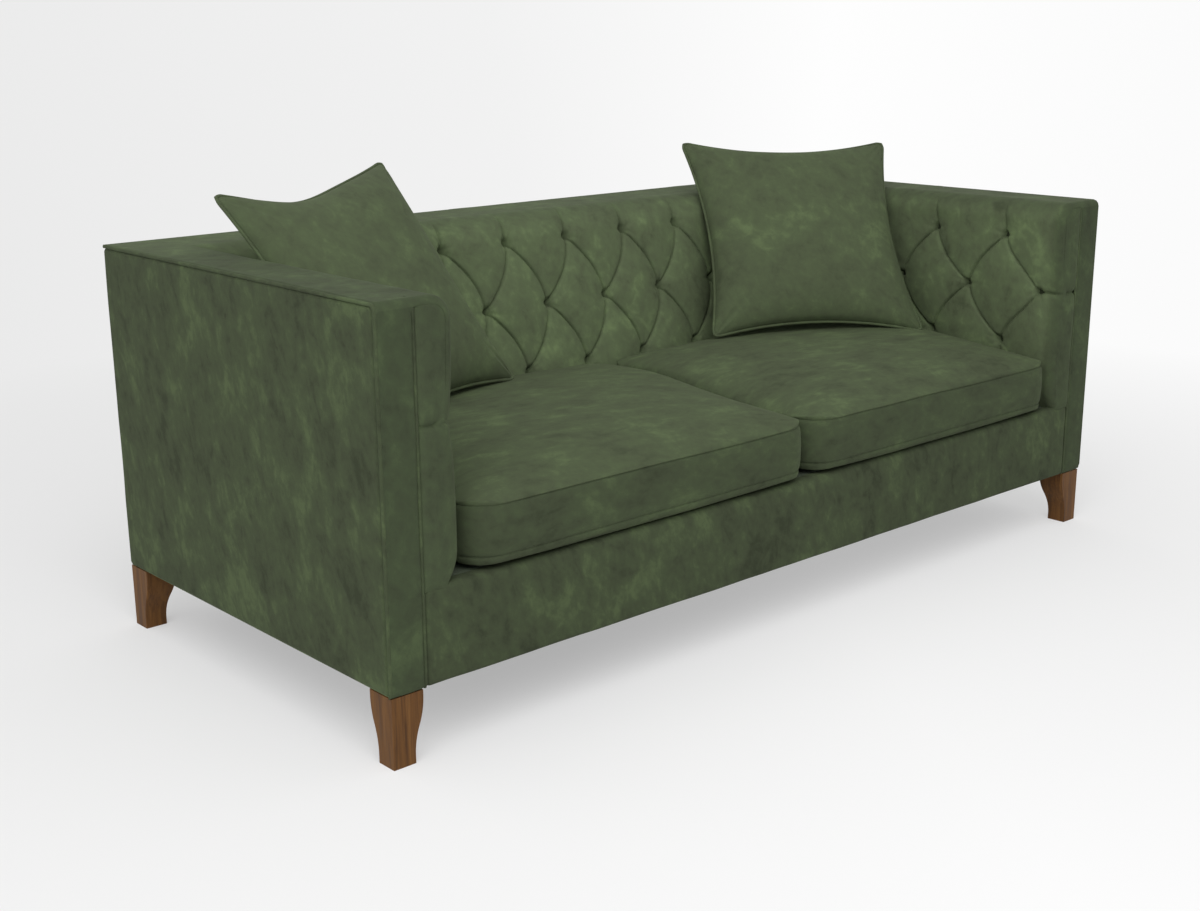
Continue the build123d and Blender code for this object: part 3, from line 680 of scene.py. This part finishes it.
def make_piping():
    for side, name in ((-1, "left"), (1, "right")):
        x = side * 1.0466
        edge = line([(x, 0.4775, 0.8022), (x, -0.4590, 0.8022), (x, -0.4645, 0.8004),
                     (x, -0.4685, 0.7962), (x, -0.4702, 0.7900), (x, -0.4702, 0.145),
                     (side * 1.0440, -0.4670, 0.135)])
        points, faces = tube(edge, arm_cord)
        piece(f"arm_piping_{name}_cord", points, faces, velvet_upright,
              replaces=[f"arm_piping_{name}"])
        x = side * 0.9745
        seam = line([(x, -0.466, 0.133), (x, -0.4706, 0.142), (x, -0.4706, 0.788), (x, -0.4680, 0.7965),
                     (side * 0.9743, -0.4610, 0.8020), (side * 0.9738, -0.4500, 0.8035),
                     (side * 0.9725, -0.4380, 0.8025)], 0.006)
        points, faces = tube(seam, facing_cord)
        piece(f"facing_piping_{name}_cord", points, faces, velvet_upright,
              replaces=[f"facing_piping_{name}"])
    edge = line([(-1.0468, 0.4795, 0.8022), (1.0468, 0.4795, 0.8022)])
    points, faces = tube(edge, back_cord)
    piece("back_piping_cord", points, faces, velvet_upright, replaces=["back_piping"])


# Loose cushions, blown up by a cloth simulation from their cut panels.

def simulate(name, points, faces, held, pressure, frames, stiff, cap):
    """Inflates a closed cover for a short time and returns where its points went, at most cap away.

    The held points stay, as a seam or a border does that the filling keeps in shape.
    """
    mesh = bpy.data.meshes.new(name)
    mesh.from_pydata(points.tolist(), [], [tuple(int(i) for i in f) for f in faces])
    bag = bpy.data.objects.new(name, mesh)
    scene.collection.objects.link(bag)
    group = bag.vertex_groups.new(name="held")
    group.add([int(i) for i in held], 1.0, "REPLACE")
    cloth = bag.modifiers.new("cover", "CLOTH")
    settings = cloth.settings
    settings.vertex_group_mass = "held"
    settings.quality = 6
    settings.mass = 0.3
    settings.tension_stiffness = stiff
    settings.compression_stiffness = stiff
    settings.shear_stiffness = stiff * 0.4
    settings.bending_stiffness = 0.6
    settings.use_pressure = True
    settings.uniform_pressure_force = pressure
    settings.effector_weights.gravity = 0
    cloth.collision_settings.use_collision = False
    cloth.point_cache.frame_start = 1
    cloth.point_cache.frame_end = frames
    for number in range(1, frames + 1):
        scene.frame_set(number)
    shown = bag.evaluated_get(bpy.context.evaluated_depsgraph_get())
    moved = np.zeros(len(points) * 3, np.float32)
    shown.data.vertices.foreach_get("co", moved)
    bpy.data.objects.remove(bag)
    bpy.data.meshes.remove(mesh)
    scene.frame_set(1)
    shift = moved.reshape(-1, 3).astype(float) - points
    far = np.linalg.norm(shift, axis=1)
    limit = cap * np.tanh(far / cap)
    return points + shift * (limit / np.maximum(far, 1e-9))[:, None]


def boxed_cover(half_x, half_y, corner, low, high, step, lift, drop):
    """Top and bottom panels and a border, as one closed mesh, with its top seam and its held points."""
    nx, ny = int(2 * half_x / step), int(2 * half_y / step)
    x, y = np.linspace(-half_x, half_x, nx + 1), np.linspace(-half_y, half_y, ny + 1)
    a, b = np.meshgrid(x, y)
    flat = np.stack([a.ravel(), b.ravel()], 1)
    inside = np.clip(flat, [corner - half_x, corner - half_y], [half_x - corner, half_y - corner])
    away = flat - inside
    both = (np.abs(away) > 1e-9).all(axis=1)
    length = np.linalg.norm(away, axis=1)
    reach = np.abs(away).max(axis=1)
    flat[both] = inside[both] + away[both] * (reach[both] / length[both])[:, None]
    place = flat / [half_x, half_y]
    dome = np.clip((1 - np.abs(place[:, 0]) ** 3.2) * (1 - np.abs(place[:, 1]) ** 3.2), 0, 1) ** 0.62
    top = np.column_stack([flat, high + lift * dome])
    bottom = np.column_stack([flat, low - drop * np.minimum(1, 3 * dome)])
    index = np.arange((nx + 1) * (ny + 1)).reshape(ny + 1, nx + 1)
    loop = np.concatenate([index[0, :-1], index[:-1, -1], index[-1, :0:-1], index[:0:-1, 0]])
    # Rings of the border, close together at its two sewn grooves.
    top_groove, foot_groove = 0.0030, 0.0120
    levels = [high - d for d in (0.0012, top_groove, 0.0048, 0.0080)]
    levels += list(np.arange(high - 0.016, low + 0.022, -step))
    levels += [low + d for d in (0.0165, 0.0140, foot_groove, 0.0100, 0.0075, 0.0030)]
    ring = flat[loop]
    bands = []
    for level in levels:
        swell = 0.0046 * math.sin(math.pi * (high - level) / (high - low)) ** 0.6
        swell -= 0.0042 * math.exp(-(((high - level - top_groove) / 0.0016) ** 2))
        swell -= 0.0036 * math.exp(-(((level - low - foot_groove) / 0.0018) ** 2))
        ratio = 1 + swell / np.abs(ring).max(axis=1)[:, None]
        bands.append(np.column_stack([ring * ratio, np.full(len(ring), level)]))
    points = np.concatenate([top, bottom, *bands])
    top_faces = grid_faces(ny + 1, nx + 1)
    bottom_faces = grid_faces(ny + 1, nx + 1, flip=True) + len(top)
    rings = [2 * len(top) + r * len(loop) + np.arange(len(loop)) for r in range(len(levels))]
    loops = [loop, *rings, loop + len(top)]
    side_faces = []
    for above, below in zip(loops[:-1], loops[1:]):
        side_faces.append(np.stack([above, below, np.roll(below, -1), np.roll(above, -1)], 1))
    faces = np.concatenate([top_faces, bottom_faces, *side_faces])
    held = np.concatenate([loop, np.arange(len(top), len(points))])
    return points, faces, loop, held


def refine(made, seams, edge=0.0):
    """Subdivides a mesh, with more or less of an edge kept at its seams."""
    on_seam = np.zeros(len(made.data.vertices), bool)
    on_seam[seams] = True
    ends = np.zeros(len(made.data.edges) * 2, np.int32)
    made.data.edges.foreach_get("vertices", ends)
    crease = on_seam[ends.reshape(-1, 2)].all(axis=1) * edge
    layer = made.data.attributes.new("crease_edge", "FLOAT", "EDGE")
    layer.data.foreach_set("value", crease.astype(np.float32))
    divide = made.modifiers.new("smooth", "SUBSURF")
    divide.levels = divide.render_levels = 2
    graph = bpy.context.evaluated_depsgraph_get()
    shown = made.evaluated_get(graph)
    fine = bpy.data.meshes.new_from_object(shown, preserve_all_data_layers=True, depsgraph=graph)
    made.modifiers.remove(divide)
    old = made.data
    made.data = fine
    bpy.data.meshes.remove(old)


seat_half_x, seat_half_y = 0.4385, 0.3255
seat_centre_x, seat_centre_y = 0.4445, -0.153
seat_low, seat_high = 0.3223, 0.4283
seat_corner, seat_step = 0.070, 0.0085
seat_lift, seat_drop = 0.036, 0.011
seat_crown, seat_slide = 0.063, 0.016
seat_border_painted_shade = 0.46
core_half_x, core_half_y = 0.424, 0.311


def make_seats():
    points, faces, seam, held = boxed_cover(seat_half_x, seat_half_y, seat_corner, seat_low, seat_high,
                                            seat_step, seat_lift, seat_drop)
    full = points
    full = simulate("seat_bag", points, faces, held, 4.0, 20, 18.0, 0.024)
    # The crown is fuller towards the rear.
    over = np.clip(full[:, 2] - seat_high, 0, None)
    fuller = 0.9 - 0.63 * smooth_step(full[:, 1], -0.26, 0.14)
    full[:, 2] += seat_crown * (over / over.max()) ** fuller - over
    for side, name in ((-1, "left"), (1, "right")):
        shape = full.copy()
        shape[:, 0] = np.clip(shape[:, 0], -0.4432, 0.4432)
        shape[:, 1] = np.clip(shape[:, 1], -0.3312, 0.3305)
        shape[:, 2] = np.clip(shape[:, 2], 0.3104, None)
        # In the photograph the left cushion has slid a little to the right, against the other one.
        narrower = 1.0 if side < 0 else 1 - seat_slide / (2 * seat_half_x)
        slid = seat_slide if side < 0 else seat_slide / 2
        shape[:, 0] = side * -shape[:, 0] * narrower
        shape += np.array([side * seat_centre_x + slid, seat_centre_y, 0])
        above = smooth_step(shape[:, 2], 0.35, 0.45)
        shape[:, 2] += above * (0.0022 * noise(shape, 5, 81) + 0.0008 * noise(shape, 15, 82))
        shape[:, 1] += 0.0012 * noise(shape, 8, 83)
        way = faces if side < 0 else faces[:, ::-1]
        # Painted shade darkens the border below the top seam.
        painted_shade = seat_border_painted_shade * (1 - smooth_step(shape[:, 2], 0.4270, 0.4290))
        made = piece(f"seat_cushion_{name}_cover", shape, way, velvet_across, f"seat_cushion_{name}",
                     replaces=[f"seat_cover_{name}"], painted_shade=painted_shade)
        refine(made, seam, 0.8)
        low = [side * seat_centre_x - core_half_x, seat_centre_y - core_half_y, 0.3135]
        high = [side * seat_centre_x + core_half_x, seat_centre_y + core_half_y, 0.4240]
        core, core_faces = soft_box(low, high, 0.050, 0.03, (0, 0, 0.012), 0.0005, 91)
        inner = piece(f"seat_cushion_{name}_foam", core, core_faces, foam, f"seat_cushion_{name}",
                      [f"seat_core_{name}"])


scatter_side, scatter_draw, scatter_corner = 0.266, 0.034, 0.022
scatter_front, scatter_rear = 0.070, 0.036


def pillow_cover(count, half, front, rear):
    """Two square panels sewn at their edges, thin at the seam and full in the middle."""
    t = np.linspace(-1, 1, count + 1)
    t = np.sign(t) * (0.8 * np.abs(t) + 0.2 * np.sin(np.abs(t) * math.pi / 2))
    a, b = np.meshgrid(t, t)
    draw_x = 1 - scatter_draw / half * (1 - b ** 2) * np.abs(a)
    draw_y = 1 - scatter_draw / half * (1 - a ** 2) * np.abs(b)
    x, y = half * a * draw_x, half * b * draw_y
    off_x, off_y = (np.clip(np.abs(v) - (half - scatter_corner), 0, None) for v in (x, y))
    both = np.minimum(off_x, off_y) > 1e-9
    scale = np.where(both, np.maximum(off_x, off_y) / np.maximum(np.hypot(off_x, off_y), 1e-9), 1)
    x, y = x - np.sign(x) * off_x * (1 - scale), y - np.sign(y) * off_y * (1 - scale)
    dome = np.clip((1 - a ** 2) * (1 - b ** 2), 0, 1) ** 0.43
    face = np.stack([x, y, front * dome], -1).reshape(-1, 3)
    back = np.stack([x, y, -rear * dome], -1).reshape(-1, 3)
    index = np.arange((count + 1) ** 2).reshape(count + 1, count + 1)
    inner = np.ones((count + 1, count + 1), bool)
    inner[0], inner[-1], inner[:, 0], inner[:, -1] = False, False, False, False
    number = index.copy().ravel()
    number[inner.ravel()] = len(face) + np.arange(inner.sum())
    points = np.concatenate([face, back[inner.ravel()]])
    grid = grid_faces(count + 1, count + 1)
    faces = np.concatenate([grid, number[grid][:, ::-1]])
    loop = np.concatenate([index[0, :-1], index[:-1, -1], index[-1, :0:-1], index[:0:-1, 0]])
    return points, faces, loop


def make_scatters():
    points, faces, loop = pillow_cover(92, scatter_side, scatter_front, scatter_rear)
    full = points
    full = simulate("scatter_bag", points, faces, loop, 4.0, 20, 12.0, 0.026)
    # Centre, direction across, direction up, growth, and the shift along both to the photograph's place.
    places = {
        "left": ((-0.6155, 0.1289, 0.6957), (0.9343, 0.3549, 0.0334), (-0.2279, 0.5227, 0.8215),
                 1.042, (-0.030, 0.010)),
        "right": ((0.6204, 0.0980, 0.6922), (0.8755, -0.4827, -0.0211), (0.3015, 0.5116, 0.8045),
                  1.032, (0.004, 0.013)),
    }
    for name, (centre, across, up, grown, shift) in places.items():
        across, up = np.array(across), np.array(up)
        centre = np.array(centre) + shift[0] * across + shift[1] * up
        out = np.cross(across, up)
        shape = full.copy()
        shape[:, :2] *= grown
        if name == "left":
            # A slacker cushion: its top edge sags, its right edge is drawn in and its front is fuller.
            shape[:, :2] = np.stack([shape[:, 1], -shape[:, 0]], 1)
            a, b = shape[:, 0] / scatter_side, shape[:, 1] / scatter_side
            sag = 0.022 * np.clip(1 - a ** 2, 0, 1) * np.exp(-(((a + 0.35) / 0.55) ** 2))
            shape[:, 1] -= sag * smooth_step(b, 0.2, 1.0)
            shape[:, 0] -= 0.020 * np.clip(1 - b ** 2, 0, 1) * smooth_step(a, 0.3, 1.0)
            fuller = 1.08 + 0.24 * smooth_step(a + 0.6 * b, 0.0, 1.1)
            shape[:, 2] *= np.where(shape[:, 2] > 0, fuller, 1.0)
        shape[:, 2] = np.clip(shape[:, 2], -0.043, 0.118)
        placed = centre + shape[:, :1] * across + shape[:, 1:2] * up + shape[:, 2:] * out
        body = f"scatter_cushion_{name}"
        made = piece(f"{body}_cover", placed, faces, velvet_scatter, body,
                     replaces=[f"scatter_cover_{name}"])
        refine(made, loop)
        rim = placed[loop]
        outward = rim - rim.mean(axis=0)
        rim = rim + outward / np.linalg.norm(outward, axis=1)[:, None] * 0.0004
        cord, cord_faces = tube(rim, scatter_cord, closed=True)
        piece(f"{body}_piping", cord, cord_faces, velvet_scatter, body,
              replaces=[f"scatter_piping_{name}"])
        inside = centre + (placed - centre) * 0.90
        inner = piece(f"{body}_filling", inside, faces, foam, body, [f"scatter_filling_{name}"])


make_back()
for side in (-1, 1):
    make_arm(side)
    make_strip(side)
    make_outside_arm(side)
make_panels()
make_base_cloth()
make_piping()
make_seats()
make_scatters()

# Legs and buttons show as solids; the buttons take a much darker velvet, painted shade. The hidden
# solids take the velvet too.
for name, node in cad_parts.items():
    material = velvet_tufted
    if name.startswith("leg_") and name != "leg_bolts":
        material = leg_wood
    # Painted shade: the buttons are darkened for the shade in their pits.
    if "buttons" in name:
        material = velvet_button_painted_shade
    node.data.materials.clear()
    node.data.materials.append(material)


# Floor, light and camera.

def pale(tree, source, near):
    """The studio grey, a little darker towards the left of the photograph, on the floor and far away."""
    along = tree.nodes.new("ShaderNodeVectorMath")
    along.operation = "DOT_PRODUCT"
    along.inputs[1].default_value = (0.744, -0.668, 0.0)
    tree.links.new(source, along.inputs[0])
    far = tree.nodes.new("ShaderNodeVectorMath")
    far.operation = "LENGTH"
    tree.links.new(source, far.inputs[0])
    reach = tree.nodes.new("ShaderNodeMath")
    reach.operation = "ADD"
    reach.inputs[1].default_value = near
    tree.links.new(far.outputs["Value"], reach.inputs[0])
    share = tree.nodes.new("ShaderNodeMath")
    share.operation = "DIVIDE"
    tree.links.new(along.outputs["Value"], share.inputs[0])
    tree.links.new(reach.outputs[0], share.inputs[1])
    spread = tree.nodes.new("ShaderNodeMapRange")
    spread.inputs["From Min"].default_value = -0.40
    spread.inputs["From Max"].default_value = 0.35
    tree.links.new(share.outputs[0], spread.inputs["Value"])
    stops = [(0.0, 0.825), (0.45, 0.885), (0.72, 0.990), (1.0, 0.965)]
    return ramp(tree, spread.outputs[0], [(p, (v, v, v)) for p, v in stops]), far.outputs["Value"]


def seen_rays(tree):
    """One for rays from the camera and for what gloss and glass show of the studio."""
    path = tree.nodes.new("ShaderNodeLightPath")
    total = path.outputs["Is Camera Ray"]
    for name in ("Is Glossy Ray", "Is Transmission Ray"):
        more = tree.nodes.new("ShaderNodeMath")
        more.operation = "MAXIMUM"
        tree.links.new(total, more.inputs[0])
        tree.links.new(path.outputs[name], more.inputs[1])
        total = more.outputs[0]
    return total


def make_floor():
    mesh = bpy.data.meshes.new("floor")
    far_edge = 300
    corners = [(x * far_edge, y * far_edge, 0) for x, y in ((-1, -1), (1, -1), (1, 1), (-1, 1))]
    mesh.from_pydata(corners, [], [(0, 1, 2, 3)])
    floor = bpy.data.objects.new("floor", mesh)
    scene.collection.objects.link(floor)
    made, tree, shader, place = new_material("studio_floor")
    shader.inputs["Base Color"].default_value = (0.80, 0.80, 0.80, 1)
    shader.inputs["Roughness"].default_value = 0.9
    shader.inputs["Specular IOR Level"].default_value = 0.1
    glow = tree.nodes.new("ShaderNodeEmission")
    grey, far = pale(tree, place.outputs["Object"], 2.5)
    tree.links.new(grey, glow.inputs["Color"])
    reach = tree.nodes.new("ShaderNodeMapRange")
    reach.inputs["From Min"].default_value = 1.2
    reach.inputs["From Max"].default_value = 3.2
    reach.inputs["To Min"].default_value = 0.45
    reach.inputs["To Max"].default_value = 1.0
    tree.links.new(far, reach.inputs["Value"])
    share = tree.nodes.new("ShaderNodeMath")
    share.operation = "MULTIPLY"
    tree.links.new(seen_rays(tree), share.inputs[0])
    tree.links.new(reach.outputs[0], share.inputs[1])
    mix = tree.nodes.new("ShaderNodeMixShader")
    tree.links.new(share.outputs[0], mix.inputs[0])
    tree.links.new(shader.outputs[0], mix.inputs[1])
    tree.links.new(glow.outputs[0], mix.inputs[2])
    tree.links.new(mix.outputs[0], tree.nodes["Material Output"].inputs["Surface"])
    mesh.materials.append(made)


def make_light():
    world = bpy.data.worlds.new("studio")
    scene.world = world
    world.use_nodes = True
    tree = world.node_tree
    sky = tree.nodes["Background"]
    sky.inputs["Color"].default_value = (1, 1, 1, 1)
    sky.inputs["Strength"].default_value = 0.66
    seen = tree.nodes.new("ShaderNodeBackground")
    place = tree.nodes.new("ShaderNodeTexCoord")
    grey, _ = pale(tree, place.outputs["Generated"], 0.0)
    tree.links.new(grey, seen.inputs["Color"])
    mix = tree.nodes.new("ShaderNodeMixShader")
    tree.links.new(seen_rays(tree), mix.inputs[0])
    tree.links.new(sky.outputs[0], mix.inputs[1])
    tree.links.new(seen.outputs[0], mix.inputs[2])
    tree.links.new(mix.outputs[0], tree.nodes["World Output"].inputs["Surface"])
    for name, place, aim, size, power in (
        ("key", (-2.2, -3.0, 4.2), (0, 0, 0.4), 4.5, 155),
        ("fill", (-4.4, -0.9, 2.8), (0.3, 0, 0.5), 4.0, 45),
    ):
        lamp = bpy.data.lights.new(name, "AREA")
        lamp.shape = "DISK"
        lamp.size = size
        lamp.energy = power
        made = bpy.data.objects.new(name, lamp)
        made.location = place
        made.rotation_euler = (Vector(aim) - Vector(place)).to_track_quat("-Z", "Y").to_euler()
        scene.collection.objects.link(made)


def make_camera():
    lens = bpy.data.cameras.new("photo_camera")
    lens.sensor_width = 36
    lens.lens = 48.19
    lens.clip_end = 1000
    camera = bpy.data.objects.new("photo_camera", lens)
    scene.collection.objects.link(camera)
    turn, rise, roll = math.radians(-41.901), math.radians(15.261), math.radians(-0.383)
    back = Vector((math.sin(turn) * math.cos(rise), -math.cos(turn) * math.cos(rise), math.sin(rise)))
    right = (-back).cross(Vector((0, 0, 1))).normalized()
    up = right.cross(-back)
    cos, sin = math.cos(roll), math.sin(roll)
    turned = Matrix((cos * right + sin * up, cos * up - sin * right, back)).transposed().to_4x4()
    place = (-2.4519, -2.5663, 1.2373)
    camera.matrix_world = Matrix.Translation(place) @ turned
    scene.camera = camera


make_floor()
make_light()
make_camera()
scene.view_settings.view_transform = "Standard"
